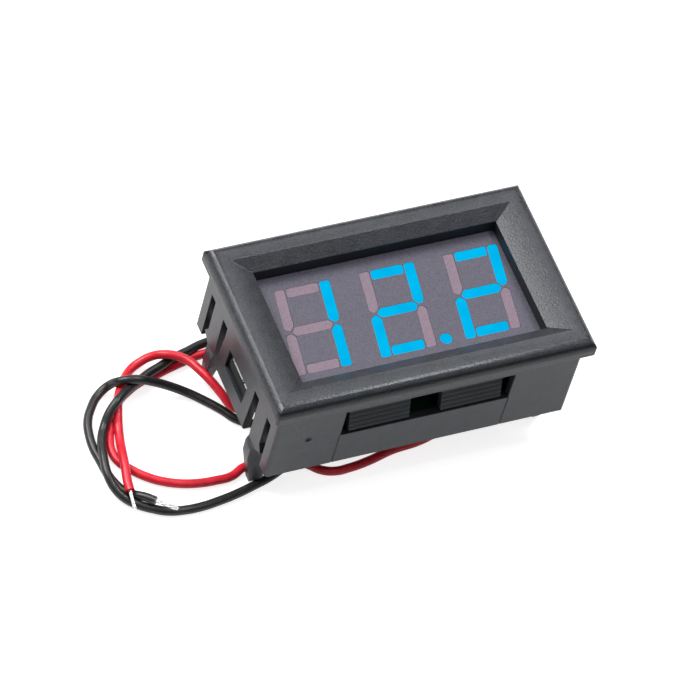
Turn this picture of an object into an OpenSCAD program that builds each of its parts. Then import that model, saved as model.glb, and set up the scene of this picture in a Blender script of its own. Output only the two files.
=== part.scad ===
// Snap-in LED panel meter: a moulded case with a bezel, a three-digit display,
// a circuit board on the back of the display and two leads with stripped ends.
// It stands on the ends of its four snap legs with the display facing up.

/* [Bezel] */
// Width of the bezel
bezel_w = 48.2; // [47.2:0.2:54]
// Height of the bezel
bezel_h = 29.2; // [28.6:0.1:34]
// Thickness of the bezel flange that rests on the panel
bezel_t = 2.7; // [2.2:0.1:3.2]
// Round along the front edges of the bezel
bezel_round = 1.8; // [0.8:0.1:2]
// How far the sloped frame runs in from the sides of the bezel
slope_w = 2.85; // [1.5:0.05:3.2]
// How far the sloped frame runs in from the top and the bottom
slope_h = 1.95; // [1:0.05:2.2]
// Depth of the sloped frame
slope_depth = 1.35; // [0.8:0.05:2]
// How far the bezel laps over the left and right edges of the display
lap_w = 0.35; // [0.1:0.05:0.6]
// How far the bezel laps over the top and bottom edges of the display
lap_h = 0.05; // [0.05:0.05:0.4]
// Depth of the display's face below the front of the bezel
display_recess = 3.4; // [2.8:0.1:4.5]

/* [Case] */
// Width of the body that passes through the panel
body_w = 45.6; // [45:0.1:46]
// Height of the body that passes through the panel
body_h = 27.2; // [26.6:0.1:28]
// Depth from the front of the bezel to the back edge of the walls
body_depth = 17; // [16.8:0.1:22]
// Thickness of the walls
wall = 1.2; // [1:0.05:1.4]
// How far the legs reach past the back edge of the walls
leg_reach = 7.4; // [5:0.1:9]
// Depth at which the slots of the side walls start
slot_start = 7.5; // [6.5:0.1:9]
// Half of the width of the snap tongue in the middle of each side wall
tongue_half = 5.4; // [4.6:0.1:5.8]
// Depth of the free end of the tongue
tongue_end = 16.7; // [15.8:0.1:17]
// How far the free end of the tongue stands out of the side wall
tongue_flare = 0.4; // [0.1:0.05:0.6]
// Width of the slot between the tongue and a leg
slot_w = 1.5; // [1:0.1:1.8]
// Width of a leg at its root
leg_w = 3.1; // [2.8:0.1:3.4]
// Width of the slot between a leg and the corner of the case
corner_slot_w = 1.35; // [0.8:0.05:1.6]

/* [Grip windows] */
// Width of the window in the top wall and in the bottom wall
window_w = 25.4; // [24.6:0.2:30]
// Depth at which the windows start
window_start = 4.95; // [4.6:0.05:5.2]
// Depth at which the windows end
window_end = 10.4; // [10.2:0.1:12]
// Width of a ribbed grip pad
pad_w = 9.2; // [7:0.1:10]
// Gap between the two grip pads of a window
pad_gap = 4.7; // [3:0.1:5]
// Thickness of a grip pad
pad_t = 1; // [0.8:0.05:1.3]
// Number of ribs on a grip pad
pad_ribs = 6; // [3:1:7]
// Height of a rib
rib_h = 0.28; // [0.1:0.02:0.4]

/* [Display] */
// Width of the display module
display_w = 37.6; // [37:0.1:38.6]
// Height of the display module
display_h = 19; // [18.4:0.1:19.6]
// Thickness of the display module
display_t = 8; // [7:0.1:8.4]
// Height of a digit
digit_h = 14.2; // [12:0.1:15]
// Width of a digit
digit_w = 8.3; // [7:0.1:9]
// Distance from one digit to the next
digit_pitch = 12.8; // [11.8:0.1:12.9]
// Width of a segment
stroke = 1.5; // [1.1:0.05:1.7]
// Gap between two segments
segment_gap = 0.26; // [0.16:0.02:0.36]
// Lean of the digits in degrees
lean = 8.5; // [0:0.5:10]
// Figure shown by the first digit
tens = 1; // [0, 1, 2, 3, 4, 5, 6, 7, 9]
// Figure shown by the second digit
units = 2; // [0, 1, 2, 3, 4, 5, 6, 7, 9]
// Figure shown by the third digit
tenths = 2; // [0, 1, 2, 3, 4, 5, 6, 7, 9]
// Radius of the decimal point
point_r = 0.85; // [0.5:0.05:1]

/* [Circuit board] */
// Thickness of the circuit board
board_t = 1.6; // [1:0.1:1.8]
// Gap between the board and the walls
board_gap = 0.3; // [0.2:0.05:0.6]
// Radius of a display pin
pin_r = 0.25; // [0.2:0.01:0.3]
// Side of the trimmer's square base
trimmer_w = 4.5; // [4:0.1:5]
// Height of the trimmer's base
trimmer_h = 1.8; // [1.5:0.1:2.2]
// Radius of the trimmer's rotor
rotor_r = 1.5; // [1.2:0.05:1.8]

/* [Leads] */
// Diameter of a lead over its insulation
lead_d = 1.3; // [1:0.05:1.3]
// Diameter of the bare conductor
core_d = 0.55; // [0.4:0.05:0.7]
// Length of the stripped end of a lead
strip_len = 3.6; // [2:0.2:6]
// Height of the solder joint of a lead
lead_joint_h = 1; // [0.6:0.1:1.4]

/* [Hidden] */
$fn = 32;

case_black = "#3b3f42";
mask_grey = "#746c7a";
unlit_mauve = "#a58c9b";
lit_blue = "#00b8f5";
metal = "#c8cbce";
chip_black = "#222426";

// A running fit between two moulded or pressed-in pieces
fit = 0.04;
// Overlap that joins two shapes of one moulding
weld = 0.6;

front_z = body_depth + leg_reach;
seat_z = front_z - bezel_t;
face_z = front_z - display_recess;
wall_back_z = leg_reach;
half_w = body_w / 2;
half_h = body_h / 2;

mask_t = 0.2;
base_t = 1.2;
housing_top = face_z - mask_t;
base_top = face_z - display_t + base_t;
board_top = face_z - display_t;
board_under = board_top - board_t;

opening_w = display_w - 2 * lap_w;
opening_h = display_h - 2 * lap_h;
collar_w = 1;
collar_depth = 1.6;

// A polygon drawn in X and Z, run along Y from y0 to y1
module along_y(y0, y1)
    translate([0, y1, 0]) rotate([90, 0, 0]) linear_extrude(y1 - y0) children();

// A polygon drawn in Y and Z, run along X from x0 to x1
module along_x(x0, x1)
    translate([x0, 0, 0]) rotate([90, 0, 90]) linear_extrude(x1 - x0) children();

// A block centred on the axis, from z0 up to z1
module block(w, h, z0, z1)
    translate([-w / 2, -h / 2, z0]) cube([w, h, z1 - z0]);

// Copies of one quarter in all four corners
module each_corner()
    for (mx = [0, 1], my = [0, 1])
        mirror([mx, 0, 0]) mirror([0, my, 0]) children();

module round_rect(w, h, r)
    union() {
        square([w - 2 * r, h], center = true);
        square([w, h - 2 * r], center = true);
        for (sx = [-1, 1], sy = [-1, 1])
            translate([sx * (w / 2 - r), sy * (h / 2 - r)]) circle(r);
    }

// ---- Case ---------------------------------------------------------------

// The flange's outline: a slab of width w with a round along each front edge
module flange_outline(w) {
    r = bezel_round;
    translate([-w / 2, seat_z]) square([w, bezel_t - r]);
    translate([r - w / 2, seat_z]) square([w - 2 * r, bezel_t]);
    for (s = [-1, 1]) translate([s * (w / 2 - r), front_z - r]) circle(r);
}

// The flange: where the outline along the bezel meets the outline across it, so that its
// rounded edges run into mitred corners
module flange() {
    corner_r = 0.5;
    intersection() {
        along_y(-bezel_h, bezel_h) flange_outline(bezel_w);
        along_x(-bezel_w, bezel_w) flange_outline(bezel_h);
        translate([0, 0, seat_z]) linear_extrude(2 * bezel_t) round_rect(bezel_w, bezel_h, corner_r);
    }
}

// The sloped frame round the display: two crossing wedges make its mitred corners
module sloped_opening() {
    low = front_z - slope_depth;
    x1 = opening_w / 2;
    y1 = opening_h / 2;
    over = 0.5;
    grow_x = slope_w * (1 + over / slope_depth);
    grow_y = slope_h * (1 + over / slope_depth);
    intersection() {
        along_y(-bezel_h, bezel_h)
            polygon([[-x1, low], [x1, low], [x1 + grow_x, front_z + over],
                [-x1 - grow_x, front_z + over]]);
        along_x(-bezel_w, bezel_w)
            polygon([[-y1, low], [y1, low], [y1 + grow_y, front_z + over],
                [-y1 - grow_y, front_z + over]]);
    }
    block(opening_w, opening_h, face_z - 1, low + 0.01);
}

// The walls that pass through the panel, with a plate behind the bezel that the
// display rests on and a low collar that centres it
module sleeve() {
    difference() {
        translate([0, 0, wall_back_z])
            linear_extrude(seat_z - wall_back_z + weld) round_rect(body_w, body_h, 0.6);
        block(body_w - 2 * wall, body_h - 2 * wall, wall_back_z - 1, face_z);
    }
    difference() {
        block(display_w + 2 * (fit + collar_w), display_h + 2 * (fit + collar_w),
            face_z - collar_depth, face_z + weld);
        block(display_w + 2 * fit, display_h + 2 * fit, 0, face_z);
    }
}

leg_inner = tongue_half + slot_w;
leg_outer = leg_inner + leg_w;
slot_edge = leg_outer + corner_slot_w;

// The gaps in the side walls, from the start of the slots to the back edge
module side_gaps()
    for (s = [-1, 1])
        translate([s * half_w - 2, -slot_edge, 0])
            cube([4, 2 * slot_edge, front_z - slot_start]);

// One snap leg: its outline seen from the side, met with its outline seen from the
// end. Its foot bulges outwards, tapers to the bench and is cut slantwise at the corner
module leg() {
    root = front_z - slot_start + weld;
    shoulder = wall_back_z + 2.2;
    bulge = 0.35;
    foot_in = half_w - wall - 0.3;
    foot_out = leg_outer + 0.8;
    cut_y = leg_outer - 1.2;
    cut_z = wall_back_z + 0.8;
    difference() {
        intersection() {
            along_x(half_w - 3, half_w + 1)
                polygon([[leg_inner, root], [leg_outer, root], [leg_outer, shoulder + 1],
                    [foot_out, shoulder - 0.2], [foot_out, 2.9], [leg_inner + 2.4, 0],
                    [leg_inner + 1.7, 0], [leg_inner + 1, 1.4], [leg_inner, 5.4]]);
            along_y(0, half_h)
                polygon([[half_w, root], [half_w, wall_back_z + 1],
                    [half_w + bulge, wall_back_z], [half_w + bulge, wall_back_z - 2.2],
                    [half_w - 0.4, 0.4], [half_w - 0.6, 0], [foot_in + 0.2, 0],
                    [foot_in, 0.4], [foot_in, shoulder], [half_w - wall, shoulder + 0.5],
                    [half_w - wall, root]]);
        }
        translate([half_w + bulge, cut_y, 0]) rotate([0, 0, 42]) along_y(-4, 4)
            polygon([[0, -1], [4, -1], [4, cut_z + 4], [0, cut_z]]);
    }
}

// One snap tongue, flared outwards, with the window that holds the board's tab
module tongue() {
    root = front_z - slot_start + weld;
    bend = front_z - 9.5;
    tip = front_z - tongue_end;
    difference() {
        along_y(-tongue_half, tongue_half)
            polygon([[half_w, root], [half_w, bend], [half_w + tongue_flare, tip + 0.6],
                [half_w + tongue_flare - 0.3, tip], [half_w + tongue_flare - wall, tip],
                [half_w - wall, bend], [half_w - wall, root]]);
        translate([half_w - 2, -tab_half - tab_gap, board_under - tab_gap])
            cube([4, 2 * (tab_half + tab_gap), board_t + 2 * tab_gap]);
    }
}

// One ribbed grip pad: it hangs from the plate and leans out to the wall's face,
// and the ribs are saw teeth along its slope
module grip_pad() {
    top = front_z - window_start - 0.35;
    low = front_z - window_end + 0.5;
    out_top = half_h - 1.6;
    out_low = half_h - 0.35;
    lean_y = (out_low - out_top) / (top - low);
    n = pad_ribs;
    step = (top - low) / n;
    teeth = [for (i = [0 : n - 1], k = [0, 1])
        let (z = top - (i + 0.8 * k) * step, y = out_top + (top - z) * lean_y)
        [y + (k == 1 ? rib_h : 0), z - k * rib_h * lean_y]];
    along_x(pad_gap / 2, pad_gap / 2 + pad_w)
        polygon(concat([[out_top - pad_t, face_z + weld], [out_top, face_z + weld]],
            teeth, [[out_low, low], [out_low - pad_t, low], [out_top - pad_t, top]]));
}

// Fine parting lines from the window's corners to the back edge of the wall
module parting_lines() {
    line_w = 0.16;
    line_d = 0.14;
    for (sx = [-1, 1], sy = [-1, 1])
        translate([sx * (window_w / 2 + 0.1) - line_w / 2, sy * half_h - line_d, 0])
            cube([line_w, 2 * line_d, front_z - window_end]);
}

module case() {
    gate_x = 17.6;
    gate_depth = 9.6;
    color(case_black) {
        difference() {
            union() {
                flange();
                sleeve();
            }
            sloped_opening();
            side_gaps();
            for (s = [-1, 1])
                translate([-window_w / 2, s * half_h - 2, front_z - window_end])
                    cube([window_w, 4, window_end - window_start]);
            parting_lines();
            translate([-gate_x, -half_h - 0.25, front_z - gate_depth]) sphere(0.6);
        }
        each_corner() {
            leg();
            grip_pad();
        }
        for (m = [0, 1]) mirror([m, 0, 0]) tongue();
    }
}

// ---- Display ------------------------------------------------------------

// Which segments each figure lights, from 0 to 9
FIGURES = ["abcdef", "bc", "abdeg", "abcdg", "bcfg", "acdfg", "acdefg", "abc", "abcdefg", "abcdfg"];

seg_x = digit_w / 2;
seg_y = digit_h / 2;
seg_in = seg_x - stroke;
seg_mid = seg_x - stroke / 2;
half_gap = segment_gap / 2;

// Outlines of the top bar, the upper right bar and the middle bar, grown by g
function top_bar(g) = [[-seg_in + segment_gap - g, seg_y + g], [seg_in - segment_gap + g, seg_y + g],
    [seg_in - segment_gap + g, seg_y - stroke - g], [-seg_in + segment_gap - g, seg_y - stroke - g]];
function right_bar(g) = [[seg_in - g, seg_y + g], [seg_x + g, seg_y + g],
    [seg_x + g, half_gap + stroke / 3 - g], [seg_mid + g / 2, half_gap - g],
    [seg_in - g, half_gap + stroke / 2 - g]];
function mid_bar(g) = [[-seg_in + half_gap, stroke / 2 + g], [seg_in - half_gap, stroke / 2 + g],
    [seg_mid - 1.1 * segment_gap + g, 0], [seg_in - half_gap, -stroke / 2 - g],
    [-seg_in + half_gap, -stroke / 2 - g], [-seg_mid + 1.1 * segment_gap - g, 0]];

function flip(points, fx, fy) = [for (p = points) [fx * p[0], fy * p[1]]];
function leaned(points) = [for (p = points) [p[0] + p[1] * tan(lean), p[1]]];

// Each corner of an outline replaced by a short curve of radius about r
function rounded(points, r) = let (n = len(points)) [for (i = [0 : n - 1])
    let (p = points[i], a = points[(i + n - 1) % n] - p, b = points[(i + 1) % n] - p,
        pa = p + a / norm(a) * r, pb = p + b / norm(b) * r)
    each [for (t = [0, 0.35, 0.65, 1]) (1 - t) * (1 - t) * pa + 2 * t * (1 - t) * p + t * t * pb]];

function segment(name, g) = rounded(leaned(
    name == "a" ? top_bar(g) :
    name == "b" ? right_bar(g) :
    name == "c" ? flip(right_bar(g), 1, -1) :
    name == "d" ? flip(top_bar(g), 1, -1) :
    name == "e" ? flip(right_bar(g), -1, -1) :
    name == "f" ? flip(right_bar(g), -1, 1) :
    mid_bar(g)), stroke * 0.24);

function is_on(figure, name) = len(search(name, FIGURES[figure])) > 0;

segment_top = face_z - 0.02;
segment_low = base_top + 0.35;
point_at = [4.8, -seg_y + 0.8];

module segments(digit, figure, on)
    translate([(digit - 1) * digit_pitch, 0, segment_low])
        linear_extrude(segment_top - segment_low)
            for (name = "abcdefg")
                if (is_on(figure, name) == on) polygon(segment(name, 0));

// The wells that the segments sit in, through a plate from z0 to z1
module wells(z0, z1) {
    for (digit = [0 : 2], name = "abcdefg")
        translate([(digit - 1) * digit_pitch, 0, z0])
            linear_extrude(z1 - z0) polygon(segment(name, fit));
    translate([point_at[0], point_at[1], z0]) cylinder(h = z1 - z0, r = point_r + fit);
}

module display_mask()
    color(mask_grey) difference() {
        block(display_w, display_h, housing_top, face_z);
        wells(housing_top - 1, face_z + 1);
    }

module display_housing()
    color(chip_black) difference() {
        block(display_w, display_h, base_top, housing_top);
        wells(base_top - 1, housing_top + 1);
    }

module display_base()
    color("#2f6b4a") block(display_w, display_h, board_top, base_top);

// Middle of each segment, as a place for its die
function middle(points) = let (n = len(points))
    [for (k = [0, 1]) [for (p = points) p[k]] * [for (i = [1 : n]) 1] / n];

module led_dies() {
    die = 0.35;
    die_h = 0.2;
    color("#d8c860") {
        for (digit = [0 : 2], name = "abcdefg") {
            at = middle(segment(name, 0));
            translate([(digit - 1) * digit_pitch + at[0] - die / 2, at[1] - die / 2, base_top])
                cube([die, die, die_h]);
        }
        translate([point_at[0] - die / 2, point_at[1] - die / 2, base_top])
            cube([die, die, die_h]);
    }
}

module tens_lit() color(lit_blue) segments(0, tens, true);
module tens_unlit() color(unlit_mauve) segments(0, tens, false);
module units_lit() color(lit_blue) segments(1, units, true);
module units_unlit() color(unlit_mauve) segments(1, units, false);
module tenths_lit() color(lit_blue) segments(2, tenths, true);
module tenths_unlit() color(unlit_mauve) segments(2, tenths, false);

module decimal_point()
    color(lit_blue) translate([point_at[0], point_at[1], segment_low])
        cylinder(h = segment_top - segment_low, r = point_r);

pin_pitch = 2.54;
pin_row = 15.24;
pin_out = 1.1;

// A child at each of the display's pins
module each_pin()
    for (i = [-2.5 : 1 : 2.5], s = [-1, 1])
        translate([i * pin_pitch, s * pin_row / 2, 0]) children();

module display_pins()
    color(metal) each_pin()
        translate([0, 0, board_under - pin_out]) cylinder(h = board_t + pin_out, r = pin_r);

// ---- Circuit board --------------------------------------------------------

tab_half = 3;
tab_gap = 0.3;
board_w = body_w - 2 * (wall + board_gap);
board_h = body_h - 2 * (wall + board_gap);

module circuit_board()
    color("#2f6b4a") difference() {
        union() {
            block(board_w, board_h, board_under, board_top);
            block(body_w - 0.7, 2 * tab_half, board_under, board_top);
        }
        each_pin() translate([0, 0, board_under - 1]) cylinder(h = board_t + 2, r = pin_r + 0.15);
    }

module pin_solder() {
    foot_r = 0.85;
    waist_r = 0.5;
    waist_z = 0.35;
    joint_h = 0.8;
    bore_r = pin_r + 0.02;
    color(metal) each_pin()
        translate([0, 0, board_under]) mirror([0, 0, 1]) rotate_extrude()
            polygon([[bore_r, 0], [foot_r, 0], [waist_r, waist_z], [pin_r + 0.1, joint_h],
                [bore_r, joint_h]]);
}

// A gull-wing pin that leaves a package at height h and lands on the board
module gull_pin(reach, h, w)
    translate([-w / 2, 0, 0]) along_x(0, w)
        polygon([[0, -h], [reach * 0.4, -h], [reach * 0.6, -0.18], [reach, -0.18], [reach, 0],
            [reach * 0.5, 0], [reach * 0.3, -h + 0.18], [0, -h + 0.18]]);

module microcontroller() {
    body_l = 12.8;
    body_x = 7.5;
    body_t = 2.2;
    color(chip_black) translate([0, 0, board_under]) {
        block(body_l, body_x, -0.1 - body_t, -0.1);
        for (i = [-4.5 : 1 : 4.5], s = [0, 1])
            mirror([0, s, 0]) translate([i * 1.27, body_x / 2, 0]) gull_pin(1.4, 1.2, 0.42);
    }
}

// Each part keeps its distance in from the side edge of the board
module voltage_regulator() {
    edge_in = 9.3;
    up = 3.6;
    body_l = 4.5;
    body_x = 2.5;
    body_t = 1.5;
    tab_l = 1.7;
    tab_out = 0.8;
    pin_gap = 1.5;
    pin_w = 0.45;
    pin_t = 0.4;
    color(chip_black) translate([board_w / 2 - edge_in, up, board_under]) {
        block(body_l, body_x, -body_t, 0);
        translate([0, body_x / 2, 0]) block(tab_l, 2 * tab_out, -pin_t, 0);
        for (i = [-1 : 1])
            translate([i * pin_gap, -body_x / 2, 0]) block(pin_w, 2 * tab_out, -pin_t, 0);
    }
}

module input_diode() {
    edge_in = 8.9;
    down = 4.4;
    body_l = 4.3;
    body_x = 2.6;
    body_t = 2.2;
    foot_out = 0.45;
    foot_w = 1.4;
    foot_t = 0.35;
    color(chip_black) translate([board_w / 2 - edge_in, -down, board_under]) {
        block(body_l, body_x, -body_t, 0);
        block(body_l + 2 * foot_out, foot_w, -foot_t, 0);
    }
}

// A chip part lying on the board, l long
module chip(x, y, l, w, t)
    translate([x, y, board_under]) block(l, w, -t, 0);

chip_l = 2;
chip_w = 1.25;

module chip_resistors() {
    edge_in = 6.8;
    lowest = -4.5;
    step = 2;
    thick = 0.5;
    color(chip_black) for (i = [0 : 5])
        chip(-(board_w / 2 - edge_in), lowest + i * step, chip_l, chip_w, thick);
}

module chip_capacitors() {
    edge_in = 3.3;
    lowest = -3;
    step = 3.4;
    thick = 0.9;
    large_l = 3.2;
    large_w = 1.6;
    large_t = 1.2;
    large_in = 9.1;
    small_in = 9.7;
    long_edge_in = 3.7;
    color("#a58a66") {
        for (i = [0 : 2])
            chip(-(board_w / 2 - edge_in), lowest + i * step, chip_l, chip_w, thick);
        chip(board_w / 2 - large_in, board_h / 2 - long_edge_in, large_l, large_w, large_t);
        chip(board_w / 2 - small_in, -(board_h / 2 - long_edge_in), chip_l, chip_w, thick);
    }
}

// ---- Trimmer --------------------------------------------------------------

trimmer_in = 3.9;
trimmer_down = 1;
trimmer_at = [board_w / 2 - trimmer_in, -trimmer_down, 0];
stem_r = 0.5;
stem_fit = 0.05;
pocket_depth = 0.6;
rotor_out = 0.25;

module trimmer_base()
    color("#3d6fb0") translate([trimmer_at[0], trimmer_at[1], board_under - trimmer_h])
        difference() {
            block(trimmer_w, trimmer_w, 0, trimmer_h);
            translate([0, 0, -1]) cylinder(h = 1 + pocket_depth, r = rotor_r + 0.35);
            translate([0, 0, -1]) cylinder(h = 1 + trimmer_h - 0.4, r = stem_r + stem_fit);
        }

// The rotor: a slotted disc on a stem that turns in the base
module trimmer_rotor() {
    slot = 0.5;
    disc_t = pocket_depth + rotor_out - 0.1;
    color(metal) translate([trimmer_at[0], trimmer_at[1], board_under - trimmer_h - rotor_out])
        difference() {
            union() {
                cylinder(h = disc_t, r = rotor_r);
                cylinder(h = trimmer_h + rotor_out - 0.5, r = stem_r);
            }
            translate([-rotor_r * 0.8, -slot / 2, -1]) cube([rotor_r * 1.6, slot, 1.4]);
            translate([-slot / 2, -rotor_r * 0.8, -1]) cube([slot, rotor_r * 1.6, 1.4]);
        }
}

// ---- Leads ----------------------------------------------------------------

lead_z = board_under - lead_joint_h;

// The leads drop from the board, lie on the bench and loop out past the left side
red_route = [[8.5, -9.8, lead_z], [8.5, -9.8, 8.3], [8, -9.8, 5.8], [6.4, -9.8, 3.4],
    [3.6, -9.8, 1.5], [-0.7, -9.8, 0.65], [-4.7, -10.7, 0.65], [-7.8, -11.1, 0.65],
    [-9.9, -11.1, 0.65], [-11.8, -10.4, 0.65], [-13.5, -8.9, 0.65], [-15.4, -7.9, 0.65],
    [-17.5, -7.4, 0.65], [-19.8, -7.2, 0.65], [-22.2, -7.2, 0.65], [-24.5, -8.2, 0.65],
    [-26.9, -8.3, 0.65], [-29.5, -8.1, 0.65], [-32, -7.5, 0.65], [-34.3, -6.5, 0.65],
    [-36.2, -5.2, 0.65], [-37.8, -3.6, 0.65], [-39, -2, 0.65], [-39.4, -0.1, 0.65],
    [-39, 1.9, 0.65], [-38.1, 3.9, 0.65], [-36.9, 5.9, 0.65], [-35.5, 7.7, 0.65],
    [-33.6, 9, 0.65], [-31.5, 10, 0.65], [-29.3, 10.5, 0.65], [-26.8, 11.2, 0.65],
    [-24.2, 11.8, 0.65], [-21.6, 12.3, 0.65], [-18.6, 12.2, 0.65], [-15.4, 10.8, 0.65],
    [-13.4, 8, 0.65], [-13.4, 4.6, 0.65], [-15.2, 2, 0.7], [-18.2, 1.6, 1.2], [-20.7, 1.8, 2.2],
    [-21.9, 3.8, 3.2], [-22.8, 5.9, 3.7], [-23.7, 8.1, 3.7], [-24.5, 9.9, 3.5],
    [-25.8, 11.3, 3.3], [-27.4, 12.2, 3], [-28.9, 13, 1.9], [-30.4, 13, 1.1], [-32, 12.4, 0.7],
    [-33.5, 10.9, 1.1], [-35, 8.9, 1.8], [-36, 7.1, 2.05], [-36.8, 5.1, 1.95],
    [-37.3, 3.2, 1.3], [-37.9, 0.9, 1.3], [-38.5, -1.5, 1.8], [-39, -3.8, 2.1],
    [-39.5, -6, 2.1], [-39.7, -7.7, 2.05]];
black_route = [[4.5, -9.8, lead_z], [4.5, -9.8, 8.4], [3.4, -9.3, 6.2], [0.8, -8.6, 4.4],
    [-2.6, -8, 3.3], [-6.2, -7.7, 2.7], [-9.8, -7.8, 2.5], [-13.2, -8.2, 2.3],
    [-16.4, -8.9, 1.6], [-19.3, -9.7, 0.65], [-21.8, -10.4, 0.65], [-24.6, -11.1, 0.65],
    [-27.5, -11.6, 0.65], [-30.5, -11.9, 0.65], [-33.1, -11.8, 0.65], [-35.2, -11.4, 0.65],
    [-37.1, -10.5, 0.65], [-38.9, -9.3, 0.65], [-40.4, -8.1, 1], [-41.4, -6.5, 1.5],
    [-41.8, -4.3, 2.05], [-41.4, -1.6, 2.05], [-40.6, 1.2, 1.7], [-39.4, 3.5, 1.6],
    [-38.2, 5, 2.6], [-36.6, 6.2, 3.4], [-34.4, 7.9, 2.8], [-32.1, 9.4, 2], [-30.1, 10.4, 1.9],
    [-28.2, 11.1, 1.9], [-26, 12.1, 1.7], [-23.5, 12.8, 1.5], [-21, 13.7, 1.1],
    [-17.8, 14.2, 0.65], [-14.4, 13.4, 0.65], [-11.2, 11.2, 0.65], [-9, 8.2, 0.65],
    [-8.4, 4.8, 0.65], [-9.4, 1.6, 0.65], [-12, -0.7, 0.65], [-15.2, -1.4, 0.65],
    [-18.2, -0.7, 0.65], [-20.4, 0.7, 0.65], [-21.7, 2.5, 0.65], [-23.4, 4.5, 0.65],
    [-25.4, 6.3, 0.9], [-28, 7.6, 1.8], [-30.6, 8.3, 2.9], [-32.9, 8.7, 3.7], [-35, 9.3, 3.2],
    [-36.3, 10.1, 1.4], [-38, 9.4, 0.65], [-39.6, 7.7, 0.65], [-40.9, 5.6, 0.65],
    [-41.5, 3.4, 0.65], [-41.7, 1, 0.65], [-41.5, -1.1, 0.65], [-41.3, -3.2, 0.65],
    [-40.9, -4.9, 0.65], [-40.2, -6.4, 0.65], [-39.1, -7.7, 0.95], [-37.9, -8.9, 1.6],
    [-36.8, -10.1, 1.95]];

function unit(v) = v / norm(v);
function heading(path, i) = unit(path[min(i + 1, len(path) - 1)] - path[max(i - 1, 0)]);
// A side direction square to each heading, turned as little as possible along the path
function sides(path) = [for (i = 0, s = [1, 0, 0]; i < len(path);
    i = i + 1, s = i < len(path) ? unit(s - heading(path, i) * (s * heading(path, i))) : s) s];

// A tube of eight sides swept along a path
module tube(path, r) {
    n = len(path);
    side = sides(path);
    rings = [for (i = [0 : n - 1])
        let (t = heading(path, i), u = unit(side[i] - t * (side[i] * t)), v = cross(t, u))
        each [for (k = [0 : 7]) path[i] + r * (cos(k * 45 + 22.5) * u + sin(k * 45 + 22.5) * v)]];
    skin = [for (i = [0 : n - 2], k = [0 : 7])
        let (a = i * 8 + k, b = i * 8 + (k + 1) % 8) each [[a, a + 8, b], [b, a + 8, b + 8]]];
    ends = [[for (k = [0 : 7]) k], [for (k = [7 : -1 : 0]) (n - 1) * 8 + k]];
    polyhedron(rings, concat(skin, ends), convexity = 10);
}

// The bare end of a lead, in line with its last stretch
module bare_end(path) {
    n = len(path);
    dir = unit(path[n - 1] - path[n - 2]);
    tube([path[n - 1], path[n - 1] + dir * strip_len], core_d / 2);
}

module red_lead() color("#d8283f") tube(red_route, lead_d / 2);
module red_lead_tip() color(metal) bare_end(red_route);
module black_lead() color("#2b2d30") tube(black_route, lead_d / 2);
module black_lead_tip() color(metal) bare_end(black_route);

module lead_solder()
    color(metal) for (route = [red_route, black_route])
        translate([route[0][0], route[0][1], lead_z])
            cylinder(h = lead_joint_h, r1 = lead_d / 2, r2 = lead_d / 2 + 0.4);

case();
display_mask();
display_housing();
display_base();
led_dies();
tens_lit();
tens_unlit();
units_lit();
units_unlit();
tenths_lit();
tenths_unlit();
decimal_point();
display_pins();
circuit_board();
pin_solder();
microcontroller();
voltage_regulator();
input_diode();
chip_resistors();
chip_capacitors();
trimmer_base();
trimmer_rotor();
lead_solder();
red_lead();
red_lead_tip();
black_lead();
black_lead_tip();
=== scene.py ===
# %% [markdown]
# # A snap-in digital panel meter
# The real thing is a small black moulded case with a bezel, a three-digit segment display set
# back in it, a circuit board behind the display and two thin leads with stripped ends. The CAD
# model gives every piece its size and place, so this lesson adds only what CAD leaves out: soft
# moulded edges, smooth leads with stranded ends, solder, tracks and the finishes.

# %% Load the model
import math

import bpy
from mathutils import Matrix, Quaternion, Vector


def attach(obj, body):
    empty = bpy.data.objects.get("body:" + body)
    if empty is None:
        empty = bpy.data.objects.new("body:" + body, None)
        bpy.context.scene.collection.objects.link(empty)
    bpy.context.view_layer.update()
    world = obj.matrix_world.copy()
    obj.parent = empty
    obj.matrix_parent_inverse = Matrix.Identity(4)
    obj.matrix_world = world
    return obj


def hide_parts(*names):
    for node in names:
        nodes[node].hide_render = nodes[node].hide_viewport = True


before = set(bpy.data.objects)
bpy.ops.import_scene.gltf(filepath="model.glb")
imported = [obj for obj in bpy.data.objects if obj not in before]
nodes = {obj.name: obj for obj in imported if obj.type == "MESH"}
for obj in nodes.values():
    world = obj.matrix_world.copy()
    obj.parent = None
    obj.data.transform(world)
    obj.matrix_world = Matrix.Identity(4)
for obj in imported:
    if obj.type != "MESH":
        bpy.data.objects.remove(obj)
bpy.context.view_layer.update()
scene = bpy.context.scene
MM = 0.001

# %% [markdown]
# ## The camera
# A small product is shot from far away with a long lens, so that its edges stay nearly
# parallel. A camera can be aimed by a constraint or by turning it in code. Here its direction
# is worked out from two points, and a last turn about its own axis tips the picture.

# %% Camera
CAMERA_AT = (-0.2742, -0.3753, 0.6217)
AIM_AT = Vector((-0.00912, -0.00479, 0.021))
SENSOR_WIDTH = 36
FOCAL_LENGTH = 282.46
TIP = math.radians(17.265)

bpy.ops.object.camera_add(location=CAMERA_AT)
camera = bpy.context.object
camera.name = "viewpoint"
camera.data.sensor_width = SENSOR_WIDTH
camera.data.lens = FOCAL_LENGTH
straight = (AIM_AT - camera.location).to_track_quat("-Z", "Y")
camera.rotation_euler = (straight @ Quaternion((0, 0, 1), TIP)).to_euler()
scene.camera = camera
print("camera is", round((AIM_AT - camera.location).length, 3), "m from the display")

# %% [markdown]
# ## The leads
# Two thin hook-up wires drop from the board, run over the bench and loop out past the left
# side. A wire could be a swept mesh, but a curve with a round bevel stays smooth at every bend
# and keeps one even thickness. The knots are those of the CAD route, in millimetres, and
# automatic handles draw one smooth line through them. The curve then becomes a mesh, so that
# no point of it can dip below the bench.

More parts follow.
